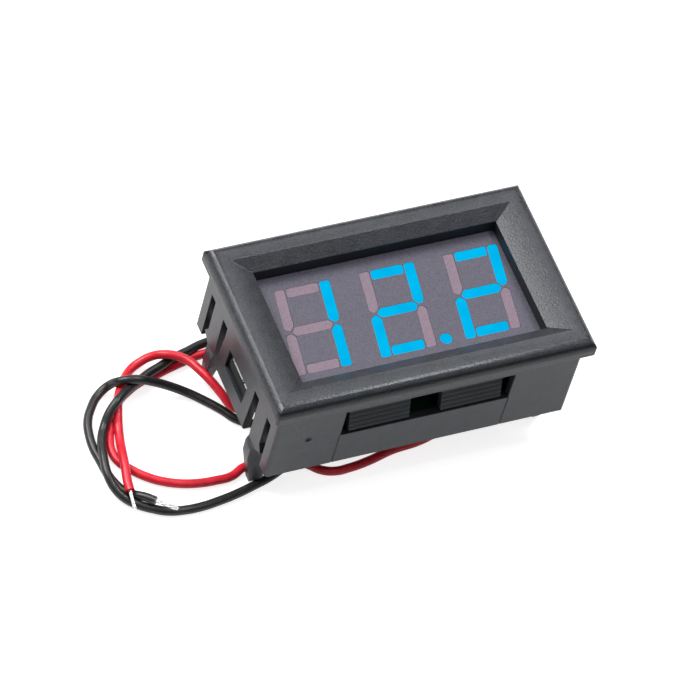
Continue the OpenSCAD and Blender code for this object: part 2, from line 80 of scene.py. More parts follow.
# %% Routes of the leads
LEAD_D = 1.3
RED_ROUTE = [
    (8.5, -9.8, 10.4), (8.5, -9.8, 8.3), (8, -9.8, 5.8), (6.4, -9.8, 3.4), (3.6, -9.8, 1.5),
    (-0.7, -9.8, 0.65), (-4.7, -10.7, 0.65), (-7.8, -11.1, 0.65), (-9.9, -11.1, 0.65),
    (-11.8, -10.4, 0.65), (-13.5, -8.9, 0.65), (-15.4, -7.9, 0.65), (-17.5, -7.4, 0.65),
    (-19.8, -7.2, 0.65), (-22.2, -7.2, 0.65), (-24.5, -8.2, 0.65), (-26.9, -8.3, 0.65),
    (-29.5, -8.1, 0.65), (-32, -7.5, 0.65), (-34.3, -6.5, 0.65), (-36.2, -5.2, 0.65),
    (-37.8, -3.6, 0.65), (-39, -2, 0.65), (-39.4, -0.1, 0.65), (-39, 1.9, 0.65),
    (-38.1, 3.9, 0.65), (-36.9, 5.9, 0.65), (-35.5, 7.7, 0.65), (-33.6, 9, 0.65),
    (-31.5, 10, 0.65), (-29.3, 10.5, 0.65), (-26.8, 11.2, 0.65), (-24.2, 11.8, 0.65),
    (-21.6, 12.3, 0.65), (-18.6, 12.2, 0.65), (-15.4, 10.8, 0.65), (-13.4, 8, 0.65),
    (-13.4, 4.6, 0.65), (-15.2, 2, 0.7), (-18.2, 1.6, 1.2), (-20.7, 1.8, 2.2),
    (-21.9, 3.8, 3.2), (-22.8, 5.9, 3.7), (-23.7, 8.1, 3.7), (-24.5, 9.9, 3.5),
    (-25.8, 11.3, 3.3), (-27.4, 12.2, 3), (-28.9, 13, 1.9), (-30.4, 13, 1.1),
    (-32, 12.4, 0.7), (-33.5, 10.9, 1.1), (-35, 8.9, 1.8), (-36, 7.1, 2.05),
    (-36.8, 5.1, 1.95), (-37.3, 3.2, 1.3), (-37.9, 0.9, 1.3), (-38.5, -1.5, 1.8),
    (-39, -3.8, 2.1), (-39.5, -6, 2.1), (-39.7, -7.7, 2.05),
]
BLACK_ROUTE = [
    (4.5, -9.8, 10.4), (4.5, -9.8, 8.4), (3.4, -9.3, 6.2), (0.8, -8.6, 4.4),
    (-2.6, -8, 3.3), (-6.2, -7.7, 2.7), (-9.8, -7.8, 2.5), (-13.2, -8.2, 2.3),
    (-16.4, -8.9, 1.6), (-19.3, -9.7, 0.65), (-21.8, -10.4, 0.65), (-24.6, -11.1, 0.65),
    (-27.5, -11.6, 0.65), (-30.5, -11.9, 0.65), (-33.1, -11.8, 0.65), (-35.2, -11.4, 0.65),
    (-37.1, -10.5, 0.65), (-38.9, -9.3, 0.65), (-40.4, -8.1, 1), (-41.4, -6.5, 1.5),
    (-41.8, -4.3, 2.05), (-41.4, -1.6, 2.05), (-40.6, 1.2, 1.7), (-39.4, 3.5, 1.6),
    (-38.2, 5, 2.6), (-36.6, 6.2, 3.4), (-34.4, 7.9, 2.8), (-32.1, 9.4, 2),
    (-30.1, 10.4, 1.9), (-28.2, 11.1, 1.9), (-26, 12.1, 1.7), (-23.5, 12.8, 1.5),
    (-21, 13.7, 1.1), (-17.8, 14.2, 0.65), (-14.4, 13.4, 0.65), (-11.2, 11.2, 0.65),
    (-9, 8.2, 0.65), (-8.4, 4.8, 0.65), (-9.4, 1.6, 0.65), (-12, -0.7, 0.65),
    (-15.2, -1.4, 0.65), (-18.2, -0.7, 0.65), (-20.4, 0.7, 0.65), (-21.7, 2.5, 0.65),
    (-23.4, 4.5, 0.65), (-25.4, 6.3, 0.9), (-28, 7.6, 1.8), (-30.6, 8.3, 2.9),
    (-32.9, 8.7, 3.7), (-35, 9.3, 3.2), (-36.3, 10.1, 1.4), (-38, 9.4, 0.65),
    (-39.6, 7.7, 0.65), (-40.9, 5.6, 0.65), (-41.5, 3.4, 0.65), (-41.7, 1, 0.65),
    (-41.5, -1.1, 0.65), (-41.3, -3.2, 0.65), (-40.9, -4.9, 0.65), (-40.2, -6.4, 0.65),
    (-39.1, -7.7, 0.95), (-37.9, -8.9, 1.6), (-36.8, -10.1, 1.95),
]

# %% Smooth tubes
STEPS_BETWEEN_KNOTS = 6


def select_only(*objects):
    """Deselects everything, then selects these objects and makes the first one active."""
    bpy.ops.object.select_all(action="DESELECT")
    for obj in objects:
        obj.select_set(True)
    bpy.context.view_layer.objects.active = objects[0]


def curve_through(name, points, diameter, roundness):
    """A round tube on one smooth open curve through these points, which are in millimetres."""
    line = bpy.data.curves.new(name, "CURVE")
    line.dimensions = "3D"
    spline = line.splines.new("BEZIER")
    spline.bezier_points.add(len(points) - 1)
    for knot, point in zip(spline.bezier_points, points):
        knot.co = Vector(point) * MM
        knot.handle_left_type = knot.handle_right_type = "AUTO"
    line.resolution_u = STEPS_BETWEEN_KNOTS
    line.bevel_depth = diameter / 2 * MM
    line.bevel_resolution = roundness
    line.use_fill_caps = True
    tube = bpy.data.objects.new(name, line)
    scene.collection.objects.link(tube)
    return tube


red_insulation = curve_through("red_insulation", RED_ROUTE, LEAD_D, 6)
black_insulation = curve_through("black_insulation", BLACK_ROUTE, LEAD_D, 6)
for tube in (red_insulation, black_insulation):
    select_only(tube)
    bpy.ops.object.convert(target="MESH")
    for vertex in tube.data.vertices:
        vertex.co.z = max(vertex.co.z, 0)

# %% [markdown]
# ## The stripped ends
# Under the insulation lie seven fine tinned strands, six of them twisted round the seventh.
# One strand is a helix, so it is easiest to compute its points; the six copies differ only in
# their starting angle. A real bundle opens a little at the cut end, so the helix widens there.

# %% Stranded ends
# Sizes in millimetres, the reach in strand diameters and the twist in radians over the length.
STRAND_D = 0.17
STRAND_LENGTH = 3.8
TUCKED_IN = 0.3
OUTER_STRANDS = 6
HELIX_REACH = 1.02
HELIX_TWIST = 3.6
HELIX_STEPS = 12
UNEVEN_CUT = 0.06


def stranded_end(name, route, spread):
    """Twisted strands round a straight one, which go on from the end of a route."""
    start = Vector(route[-1])
    along = (start - Vector(route[-2])).normalized()
    across = along.cross(Vector((0, 0, 1))).normalized()
    up = across.cross(along)
    strands = []
    for strand in range(OUTER_STRANDS + 1):
        points = []
        for step in range(HELIX_STEPS + 1):
            t = step / HELIX_STEPS
            angle = strand * math.tau / OUTER_STRANDS + HELIX_TWIST * t
            reach = STRAND_D * (HELIX_REACH + spread * t * t)
            if strand == OUTER_STRANDS:
                reach = 0
            cut = STRAND_LENGTH * (1 - UNEVEN_CUT * (strand % 3))
            points.append(start + along * (cut * t - TUCKED_IN)
                          + reach * (math.cos(angle) * across + math.sin(angle) * up))
        strands.append(curve_through(f"{name}_{strand}", points, STRAND_D, 3))
    select_only(*strands)
    bpy.ops.object.convert(target="MESH")
    bpy.ops.object.join()
    bundle = bpy.context.object
    bundle.name = name
    bpy.ops.object.shade_smooth()
    return bundle


red_strands = stranded_end("red_strands", RED_ROUTE, spread=0.1)
black_strands = stranded_end("black_strands", BLACK_ROUTE, spread=0.35)
print("strands", [len(piece.data.polygons) for piece in (red_strands, black_strands)], "faces")

# %% [markdown]
# ## Leads that belong to the meter
# The smooth tubes and the strands stand for the plain CAD solids on the same routes. They could
# be parented to the case by hand. Here they ride on the meter's body, which keeps them right in
# every pose.

# %% Cords
for tube, strands, route, lead in (
    (red_insulation, red_strands, RED_ROUTE, "red_lead"),
    (black_insulation, black_strands, BLACK_ROUTE, "black_lead"),
):
    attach(tube, "meter")
    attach(strands, "meter")
    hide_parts(lead)
    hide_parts(lead + "_tip")
    print(tube.name, "stands for", lead)

# %% [markdown]
# ## The moulded case
# A mould never makes a knife-sharp edge, and it is the light along those soft edges that makes
# black plastic look real. The CAD case keeps its exact form, so a copy of it is merged and only
# its long sharp edges get a small bevel. Short edges, such as those of the fine ribs and lines,
# stay as they are. Where many edges meet, a bevel can throw a point out, so any point that has
# left the CAD surface is put back on it.

# %% Soft edges on the case
SAME_POINT = 0.002 * MM
EDGE_ROUND = 0.1 * MM
SHORTEST_EDGE = 1.2 * MM
SHARP = math.radians(32)
MOST_STRAY = 0.6


def softened_copy(node, name, radius, shortest):
    """A copy of a CAD piece with its sharp edges rounded, which then stands for that piece."""
    piece = bpy.data.objects.new(name, nodes[node].data.copy())
    scene.collection.objects.link(piece)
    select_only(piece)
    bpy.ops.mesh.customdata_custom_splitnormals_clear()
    bpy.ops.object.mode_set(mode="EDIT")
    bpy.ops.mesh.select_all(action="SELECT")
    bpy.ops.mesh.remove_doubles(threshold=SAME_POINT)
    bpy.ops.mesh.select_all(action="DESELECT")
    bpy.ops.mesh.select_mode(type="EDGE")
    bpy.ops.mesh.edges_select_sharp(sharpness=SHARP)
    bpy.ops.object.mode_set(mode="OBJECT")
    points = piece.data.vertices
    for edge in piece.data.edges:
        a, b = (points[i].co for i in edge.vertices)
        if (a - b).length < shortest:
            edge.select = False
    bpy.ops.object.mode_set(mode="EDIT")
    bpy.ops.mesh.bevel(offset=radius, segments=2, affect="EDGES", clamp_overlap=False)
    bpy.ops.object.mode_set(mode="OBJECT")
    for vertex in piece.data.vertices:
        spot = nodes[node].closest_point_on_mesh(vertex.co)[1]
        if (spot - vertex.co).length > MOST_STRAY * radius:
            vertex.co = spot
    bpy.ops.object.shade_smooth_by_angle(angle=SHARP)
    bpy.ops.object.modifier_add(type="WEIGHTED_NORMAL")
    piece.modifiers[0].keep_sharp = True
    bpy.ops.object.modifier_apply(modifier=piece.modifiers[0].name)
    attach(piece, "meter")
    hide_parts(node)
    return piece


case_moulding = softened_copy("case", "case_moulding", EDGE_ROUND, SHORTEST_EDGE)
print("case", len(case_moulding.data.polygons), "faces")

# %% [markdown]
# ## The windows over the tabs
# Each snap tongue has a window that a tab of the board clicks into. On the real case the window
# is taller than the tab, so that the tongue can ride over it, and the tab's top shows inside.
# The opening could be cut again with a boolean. It is enough to pick the points of its upper
# edge and to slide them up along the sloping tongue.

# %% Taller windows
# The window's upper edge lies between these two heights and beyond this width, in millimetres.
UPPER_EDGE = (13.1, 13.5)
TONGUE_INSIDE = 20.5
WINDOW_HALF = 3.5
WINDOW_RISE = 1.45
TONGUE_SLOPE = 0.06

for side in (-1, 1):
    bpy.ops.object.mode_set(mode="EDIT")
    bpy.ops.mesh.select_mode(type="VERT")
    bpy.ops.mesh.select_all(action="DESELECT")
    bpy.ops.object.mode_set(mode="OBJECT")
    for vertex in case_moulding.data.vertices:
        x, y, z = vertex.co / MM
        vertex.select = (x * side > TONGUE_INSIDE and abs(y) < WINDOW_HALF
                         and UPPER_EDGE[0] < z < UPPER_EDGE[1])
    bpy.ops.object.mode_set(mode="EDIT")
    bpy.ops.transform.translate(
        value=(-side * TONGUE_SLOPE * WINDOW_RISE * MM, 0, WINDOW_RISE * MM))
    bpy.ops.object.mode_set(mode="OBJECT")
    print("window edge", sum(vertex.select for vertex in case_moulding.data.vertices), "points")

# %% [markdown]
# ## Solder joints
# Molten solder climbs a pin and draws itself into a hollow cone, wide where it wets the board
# and thin at its tip. The profile could be spun round the pin. Here a disc is extruded away
# from the board in steps and drawn in after each one, which closes the shape as it goes. One
# joint is made and copied to every pin, a little larger or smaller each time.

# %% A hollow cone
SMOOTH_BELOW = math.radians(50)


def hollow_cone(name, rings, sides):
    """Rings of (radius, height below the board), in millimetres, closed at both ends."""
    bpy.ops.object.select_all(action="DESELECT")
    bpy.ops.mesh.primitive_circle_add(vertices=sides, radius=rings[0][0] * MM,
                                      fill_type="NGON")
    cone = bpy.context.object
    cone.name = name
    bpy.ops.object.mode_set(mode="EDIT")
    bpy.ops.mesh.select_all(action="SELECT")
    for (wide, near), (thin, far) in zip(rings, rings[1:]):
        bpy.ops.mesh.extrude_region_move(
            TRANSFORM_OT_translate={"value": (0, 0, (near - far) * MM)})
        bpy.ops.transform.resize(value=(thin / wide, thin / wide, 1),
                                 center_override=(0, 0, 0))
    bpy.ops.mesh.select_all(action="SELECT")
    bpy.ops.mesh.normals_make_consistent(inside=False)
    bpy.ops.object.mode_set(mode="OBJECT")
    bpy.ops.object.shade_smooth_by_angle(angle=SMOOTH_BELOW)
    return cone


# %% Copies joined into one piece
def copies(piece, places):
    """Copies of a piece, each with its own mesh at its own place and size, joined into one."""
    made = []
    for place, size in places:
        twin = bpy.data.objects.new(piece.name + "_all", piece.data.copy())
        scene.collection.objects.link(twin)
        twin.data.transform(Matrix.Translation(Vector(place) * MM) @ Matrix.Scale(size, 4))
        made.append(twin)
    bpy.data.objects.remove(piece)
    select_only(*made)
    bpy.ops.object.join()
    return bpy.context.object


# %% Solder joints
# Each cone is a list of (radius, height) in millimetres, from the board to the tip.
BOARD_UNDER = 11.4
PIN_PITCH = 2.54
PIN_ROW = 15.24
PIN_COLUMNS = (-2.5, -1.5, -0.5, 0.5, 1.5, 2.5)
SMALLEST_JOINT = 0.94
SIZE_STEP = 0.03
PIN_CONE = [(0.9, 0), (0.86, 0.05), (0.68, 0.14), (0.53, 0.28), (0.43, 0.46), (0.36, 0.66),
            (0.3, 0.8), (0.2, 0.86)]
LEAD_CONE = [(1.2, 0), (1.15, 0.06), (0.96, 0.17), (0.83, 0.36), (0.75, 0.6), (0.69, 0.86),
             (0.6, 1.06), (0.4, 1.12)]

pin_places = [((column * PIN_PITCH, side * PIN_ROW / 2, BOARD_UNDER),
               SMALLEST_JOINT + SIZE_STEP * ((3 * index + side) % 4))
              for index, column in enumerate(PIN_COLUMNS) for side in (-1, 1)]
lead_places = [((*RED_ROUTE[0][:2], BOARD_UNDER), 1),
               ((*BLACK_ROUTE[0][:2], BOARD_UNDER), 0.97)]
pin_joints = copies(hollow_cone("pin_joints", PIN_CONE, sides=20), pin_places)
lead_joints = copies(hollow_cone("lead_joints", LEAD_CONE, sides=24), lead_places)
for joints, node in ((pin_joints, "pin_solder"), (lead_joints, "lead_solder")):
    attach(joints, "meter")
    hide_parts(node)
    print(joints.name, len(joints.data.polygons), "faces")

# %% [markdown]
# ## Copper tracks
# Under the lacquer the copper tracks stand up as low flat ridges. Relief this low could be a
# bump, but a drawn line of points is easier to read and to change. Each track is a curve with
# straight stretches and a round bevel, which is then pressed almost flat against the board.

# %% One track
def track(width, corners):
    """A straight-sided curve along these corners on the underside of the board."""
    line = bpy.data.curves.new("track", "CURVE")
    line.dimensions = "3D"
    spline = line.splines.new("POLY")
    spline.points.add(len(corners) - 1)
    for knot, (x, y) in zip(spline.points, corners):
        knot.co = (x * MM, y * MM, BOARD_UNDER * MM, 1)
    line.bevel_depth = width / 2 * MM
    line.bevel_resolution = 3
    line.use_fill_caps = True
    made = bpy.data.objects.new("track", line)
    scene.collection.objects.link(made)
    return made


# %% Where the tracks run
# From the controller's legs to the pins, from the resistors to the controller, and the supply.
SIGNAL_W = 0.4
SUPPLY_W = 1.5
REGULATOR_W = 1
TRIMMER_W = 0.6
LEG_AND_PIN = [(-5.72, -6.35), (-4.45, -3.81), (-1.91, -1.27),
               (0.64, 1.27), (3.18, 3.81), (5.72, 6.35)]
LEG_END, LEG_BEND, PIN_BEND, PIN_END = 4.9, 5.8, 6.5, 7.6
RESISTOR_ROWS = (-4.5, -2.5, -0.5, 1.5, 3.5, 5.5)
RESISTOR_END, CONTROLLER_END = -14, -7.6
SUPPLY_TRACKS = [
    [(8.5, -9.8), (13, -9.8), (15, -7.6), (15, -4.4)],
    [(4.5, -9.8), (2.4, -11), (-16.4, -11), (-19, -8.6), (-19, 8.4), (-16.8, 10.8), (9, 10.8)],
]
REGULATOR_TRACK = [(9.8, -4.4), (8.6, -2.8), (8.6, 1.2), (10.6, 2)]
TRIMMER_TRACK = [(13.6, 2), (15.4, 0.6), (16.4, -0.4)]

tracks = [track(SIGNAL_W, [(leg, side * LEG_END), (leg, side * LEG_BEND),
                           (pin, side * PIN_BEND), (pin, side * PIN_END)])
          for side in (-1, 1) for leg, pin in LEG_AND_PIN]
for index, row in enumerate(RESISTOR_ROWS):
    turn = -8.4 - 0.7 * abs(index - 2.5)
    tracks.append(track(SIGNAL_W, [(RESISTOR_END, row), (turn - 0.8, row), (turn, row * 0.8),
                                   (turn, row * 0.5), (CONTROLLER_END, row * 0.3)]))
tracks += [track(SUPPLY_W, corners) for corners in SUPPLY_TRACKS]
tracks += [track(REGULATOR_W, REGULATOR_TRACK), track(TRIMMER_W, TRIMMER_TRACK)]

# %% Tracks pressed flat
PRESSED = 0.15
TRACK_BELOW = 0.06
TRACK_ABOVE = 0.1

select_only(*tracks)
bpy.ops.object.convert(target="MESH")
bpy.ops.object.join()
board_tracks = bpy.context.object
board_tracks.name = "board_tracks"
for vertex in board_tracks.data.vertices:
    flat = (vertex.co.z / MM - BOARD_UNDER) * PRESSED
    vertex.co.z = (BOARD_UNDER + max(-TRACK_BELOW, min(TRACK_ABOVE, flat))) * MM
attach(board_tracks, "meter")
print("tracks", len(tracks), "with", len(board_tracks.data.polygons), "faces")

# %% [markdown]
# ## A small language for finishes
# Every finish below is a net of nodes. Wiring them one by one is slow to read, so a value in a
# net is wrapped in a class of its own: Python's arithmetic on it adds the Math nodes. Any other
# node comes from one method, which takes the kind of node, its settings and its inputs.

# %% Values and nets
class Value:
    """A number or colour that changes over a surface. Arithmetic on it adds Math nodes."""

    def __init__(self, net, socket):
        self.net = net
        self.socket = socket

    def maths(self, operation, *values):
        """A Math node on these values, in this order."""
        return self.net.node("ShaderNodeMath", {"operation": operation},
                             dict(enumerate(values)))

    def __add__(self, other):
        return self.maths("ADD", self, other)

    def __sub__(self, other):
        return self.maths("SUBTRACT", self, other)

    def __rsub__(self, other):
        return self.maths("SUBTRACT", other, self)

    def __mul__(self, other):
        return self.maths("MULTIPLY", self, other)

    def __truediv__(self, other):
        return self.maths("DIVIDE", self, other)

    def __pow__(self, other):
        return self.maths("POWER", self, other)

    def __abs__(self):
        return self.maths("ABSOLUTE", self)

    def __gt__(self, other):
        return self.maths("GREATER_THAN", self, other)

    def __lt__(self, other):
        return self.maths("LESS_THAN", self, other)

    __radd__ = __add__
    __rmul__ = __mul__

    def fraction(self):
        """The part after the decimal point."""
        return self.maths("FRACT", self)

    def between(self, low, high):
        """0 below low, 1 above high and smooth from one to the other."""
        return self.net.node("ShaderNodeMapRange", {"interpolation_type": "SMOOTHSTEP"},
                             {"Value": self, "From Min": low, "From Max": high})

    def inside(self, low, high):
        """1 from low to high and 0 elsewhere, with a hard edge."""
        return (self > low) * (self < high)

    def near(self, middle, core, fade):
        """1 within core of the middle, 0 beyond fade and smooth from one to the other."""
        return 1 - abs(self - middle).between(core, fade)


class Net:
    """A net of nodes, in a material or in the world."""

    def __init__(self, tree):
        self.tree = tree

    def node(self, kind, settings=None, inputs=None, output=0):
        """Adds a node: its settings first, then the values or links of its inputs."""
        made = self.tree.nodes.new(kind)
        for label, value in (settings or {}).items():
            setattr(made, label, value)
        for label, value in (inputs or {}).items():
            self.join(value, made.inputs[label])
        return Value(self, made.outputs[output])

    def join(self, value, socket):
        """Links a value to a socket, or writes a constant on it."""
        if isinstance(value, Value):
            self.tree.links.new(value.socket, socket)
        else:
            socket.default_value = value


# %% Finishes
class Finish(Net):
    """A material with one Principled shader, whose constants are given when it is made."""

    def __init__(self, name, colour, roughness, **constants):
        self.material = bpy.data.materials.new(name)
        self.material.use_nodes = True
        super().__init__(self.material.node_tree)
        self.shader = self.tree.nodes["Principled BSDF"]
        self.feed("Base Color", (*colour, 1))
        self.feed("Roughness", roughness)
        for label, value in constants.items():
            self.feed(label.replace("_", " "), value)

    def feed(self, label, value):
        """Gives the shader a constant or a changing value."""
        self.join(value, self.shader.inputs[label])

    def place(self):
        """The point on the piece, in millimetres."""
        spot = self.node("ShaderNodeTexCoord", output="Object")
        return self.node("ShaderNodeVectorMath", {"operation": "SCALE"},
                         {"Vector": spot, "Scale": 1 / MM})

    def axis(self, letter):
        """One coordinate of the point on the piece, in millimetres."""
        return self.node("ShaderNodeSeparateXYZ", inputs={"Vector": self.place()},
                         output="XYZ".index(letter))

    def noise(self, per_mm, detail=2, stretch=(1, 1, 1)):
        """Noise from about 0.3 to 0.7 with this many cells to the millimetre."""
        where = self.node("ShaderNodeVectorMath", {"operation": "MULTIPLY"},
                          {0: self.place(), 1: stretch})
        return self.node("ShaderNodeTexNoise",
                         inputs={"Vector": where, "Scale": per_mm, "Detail": detail})

    def mix(self, factor, first, second):
        """One colour turning into another as factor goes from 0 to 1."""
        def rgba(colour):
            return colour if isinstance(colour, Value) else (*colour, 1)
        return self.node("ShaderNodeMix", {"data_type": "RGBA"},
                         {0: factor, 6: rgba(first), 7: rgba(second)}, output=2)

    def bump(self, height, distance):
        """Feeds the normal with a height from 0 to 1 that stands this many millimetres high."""
        self.feed("Normal", self.node("ShaderNodeBump", inputs={
            "Strength": 1, "Distance": distance * MM, "Height": height}))

    def cover(self, *pieces):
        """Gives this finish to objects or to CAD nodes by name."""
        for piece in pieces:
            piece = nodes[piece] if isinstance(piece, str) else piece
            piece.data.materials.clear()
            piece.data.materials.append(self.material)
        print(self.material.name, "on", len(pieces), "pieces,", len(self.tree.nodes), "nodes")


# %% [markdown]
# ## Black case plastic
# ABS from a spark-eroded mould is satin rather than shiny: a fine grain breaks up the light,
# and slow changes in it leave faint cloudy patches. Grain as real geometry would cost millions
# of faces, so it is a bump, coarser on the flange than on the walls. A shallow ring round the
# gate mark shows where the plastic flowed in. The front edge is a little polished by handling,
# and the round below it is plain and painted darker, as painted shade. Inside the grip windows,
# the tab windows and the recess the plastic is matt, because no hand and no polish reaches
# there, and its colour is painted darker there as shade. The grip ribbing gets painted shade in
# its hollows and a painted highlight on its crests.

# %% Regions of the case, in millimetres
FRONT = 24.4
FLANGE_FROM = FRONT - 2.68
GATE = (-17.6, 14.8)
GATE_RING = 2.3
GRIP_HALF_W = 12.78
GRIP_DEEP = (10, 13.55)
GRIP_HIGH = (14.02, 19.43)
RIB_TOP = 19.1
RIB_PITCH = 0.767
RECESS_HALF = (18.6, 9.6)
RECESS_UNDER = FRONT - 1.36
TAB_WIDE = (20.8, 22.7)
TAB_HALF = 3.6
TAB_HIGH = (10.7, 15.1)

plastic = Finish("black_case_plastic", (0.03, 0.032, 0.034), 0.42, Specular_IOR_Level=0.52,
                 Specular_Tint=(0.9, 0.95, 1, 1))
wide, deep, level = (plastic.axis(letter) for letter in "XYZ")
flange = level > FLANGE_FROM
across = wide - GATE[0]
upward = level - GATE[1]
from_gate = (across * across + upward * upward) ** 0.5
ring = (deep < -13.4) * from_gate.near(GATE_RING, 0.05, 0.5)
grip = ((abs(wide) < GRIP_HALF_W) * abs(deep).inside(*GRIP_DEEP) * level.inside(*GRIP_HIGH))
recess = ((abs(wide) < RECESS_HALF[0]) * (abs(deep) < RECESS_HALF[1])
          * (level < RECESS_UNDER))
tab_window = abs(wide).inside(*TAB_WIDE) * (abs(deep) < TAB_HALF) * level.inside(*TAB_HIGH)
polished = level.between(23.5, 24) * (1 - level.between(24.3, 24.38)) * (abs(deep) > 12.7)
# The round under the front edge, which gets painted shade.
shaded_round = level.between(22.7, 23) * (1 - level.between(23.7, 24)) * (abs(deep) > 13.7)
# The crests of the grip ribs, which get a painted highlight.
crest = ((RIB_TOP - level) / RIB_PITCH).fraction().between(0.4, 0.8)

# %% Case plastic
cloud = plastic.noise(0.5, 3)
streak = plastic.noise(1.1, 4, (2.4, 1, 1))
pebble = plastic.noise(3.4, 3)
grain = plastic.noise(7, 2)
speckle = flange * pebble.between(0.36, 0.64)

shade = plastic.mix(cloud.between(0.35, 0.65), (0.025, 0.028, 0.035), (0.036, 0.04, 0.05))
shade = plastic.mix(speckle * 0.5, shade, (0.066, 0.066, 0.068))
# Painted shade: the round under the front edge is darker.
shade = plastic.mix(shaded_round, shade, (0.01, 0.012, 0.014))
# Painted shade in the hollows of the grip ribs and a painted highlight on their crests.
ribs = plastic.mix(crest, (0.006, 0.009, 0.011), (0.036, 0.046, 0.052))
shade = plastic.mix(grip, shade, ribs)
# Painted shade: darker colour inside the tab windows and the recess.
shade = plastic.mix(tab_window, shade, (0.004, 0.006, 0.007))
shade = plastic.mix(recess, shade, (0.008, 0.01, 0.012))
plastic.feed("Base Color", shade)
plastic.feed("Roughness", 0.2 + cloud * 0.1 + grain * 0.1 + streak * 0.06 - ring * 0.04
             + (grip + recess + tab_window) * 0.2 - polished * 0.12)
plastic.bump(grain * 0.4 + streak * 0.3 + flange * pebble * (1.6 - polished) + ring * 0.15,
             0.04)
plastic.cover(case_moulding)

# %% [markdown]
# ## The display
# The face of the module is a grey film printed over a black housing. The segments are wells
# filled with milky epoxy: an unlit one shows the film's mauve tint, and a lit one is so bright
# that it looks flat. Lamps behind each bar would be slow to render. A glowing surface is
# enough, and a small difference along it keeps it from looking painted on.

# %% Film and housing
film = Finish("printed_film", (0.15, 0.13, 0.16), 0.45, Specular_IOR_Level=0.35)
speck = film.noise(5.5, 2)
fleck = film.noise(12, 1)
print_grain = speck * 0.6 + fleck * 0.4
film.feed("Base Color", film.mix(print_grain.between(0.36, 0.64),
                                 (0.073, 0.072, 0.098), (0.118, 0.115, 0.155)))
film.feed("Roughness", 0.38 + speck * 0.16)
film.bump(print_grain, 0.008)
film.cover("display_mask")

housing = Finish("black_housing", (0.02, 0.02, 0.022), 0.5)
housing.feed("Roughness", 0.4 + housing.noise(4, 2) * 0.2)
housing.bump(housing.noise(9, 2), 0.01)
housing.cover("display_housing", "display_base")

# %% Segments and dies
lit = Finish("lit_segment", (0, 0.002, 0.006), 0.6, Emission_Strength=1,
             Specular_IOR_Level=0)
lit.feed("Emission Color", lit.mix(lit.noise(0.35, 1).between(0.3, 0.7),
                                   (0, 0.455, 0.84), (0, 0.505, 0.9)))
lit.feed("Roughness", 0.45 + lit.noise(6, 1) * 0.1)
lit.cover("tens_lit", "units_lit", "tenths_lit", "decimal_point")

unlit = Finish("unlit_segment", (0.226, 0.166, 0.219), 0.5)
unlit.feed("Base Color", unlit.mix(unlit.noise(5.5, 2).between(0.36, 0.64),
                                   (0.18, 0.13, 0.177), (0.226, 0.166, 0.219)))
unlit.feed("Roughness", 0.42 + unlit.noise(4, 1) * 0.15)
unlit.bump(unlit.noise(7, 2), 0.006)
unlit.cover("tens_unlit", "units_unlit", "tenths_unlit")

die = Finish("light_die", (0.6, 0.5, 0.12), 0.35)
die.feed("Base Color", die.mix(die.noise(9, 1).between(0.4, 0.6),
                               (0.55, 0.42, 0.08), (0.75, 0.66, 0.25)))
die.cover("led_dies")

# %% [markdown]
# ## The circuit board
# Glass-fibre laminate under a green lacquer, painted nearly black as shade, since the board
# sits deep in the case. Its cut edge is painted dark as shade too, with a thin broken white
# line along it, and a broken white band runs along each end: both are a painted glint that
# shows through the window of the side tongue. One finish can serve all of it, because the
# height of a point tells a flat face from the edge, and its distance from the middle tells the
# end bands from the lacquer.

# %% Board lacquer, edge and painted glints
BOARD_MIDDLE = 12.2
CUT_EDGE = (0.74, 0.78)
EDGE_GLINT_AT = 12.7
EDGE_GLINT_UNTIL = 22
END_GLINT_AT = 22.12

board = Finish("green_lacquer", (0.01, 0.1, 0.03), 0.3)
along_board, height = board.axis("X"), board.axis("Z")
edge = 1 - abs(height - BOARD_MIDDLE).between(*CUT_EDGE)
weave = board.noise(2.2, 2, (1, 6, 1)) * 0.5 + board.noise(2.2, 2, (6, 1, 1)) * 0.5
glint_breaks = board.noise(1.1, 3, (0.2, 1, 1)).between(0.38, 0.43)
# A broken white line along the cut edge: a painted glint.
edge_glint = height.near(EDGE_GLINT_AT, 0.1, 0.18) * glint_breaks * (abs(along_board) < EDGE_GLINT_UNTIL)
# A broken white band along each end of the board: a painted glint.
end_glint = abs(along_board).near(END_GLINT_AT, 0.12, 0.18) * glint_breaks
# Painted shade: the lacquer is nearly black, as the board lies deep in the case.
lacquer = board.mix(weave.between(0.4, 0.6), (0.003, 0.03, 0.013), (0.006, 0.05, 0.02))
flat_face = board.mix(end_glint, lacquer, (0.95, 0.95, 0.93))
# Painted shade: the cut edge is nearly black, with the painted glint on it.
cut_face = board.mix(edge_glint, (0.006, 0.01, 0.008), (0.9, 0.9, 0.88))
board.feed("Base Color", board.mix(edge, flat_face, cut_face))
board.feed("Roughness", 0.25 + edge * 0.45 + weave * 0.1)
board.bump(weave + edge * board.noise(9, 2), 0.012)
board.cover("circuit_board")

# %% Lacquer over copper
covered = Finish("lacquer_over_copper", (0.01, 0.1, 0.035), 0.28)
covered.feed("Base Color", covered.mix(covered.noise(3, 2).between(0.35, 0.65),
                                       (0.009, 0.085, 0.03), (0.014, 0.12, 0.045)))
covered.feed("Roughness", 0.22 + covered.noise(5, 2) * 0.12)
covered.bump(covered.noise(6, 2), 0.008)
covered.cover(board_tracks)

# %% [markdown]
# ## Tinned metal and solder
# Pins, strands and the trimmer's rotor are tinned, and the joints are solder. A smooth mirror
# would look like chrome. Tin cools with a faint grain and cloudy patches, so its colour and
# roughness wander a little and a very low bump breaks up the reflections.

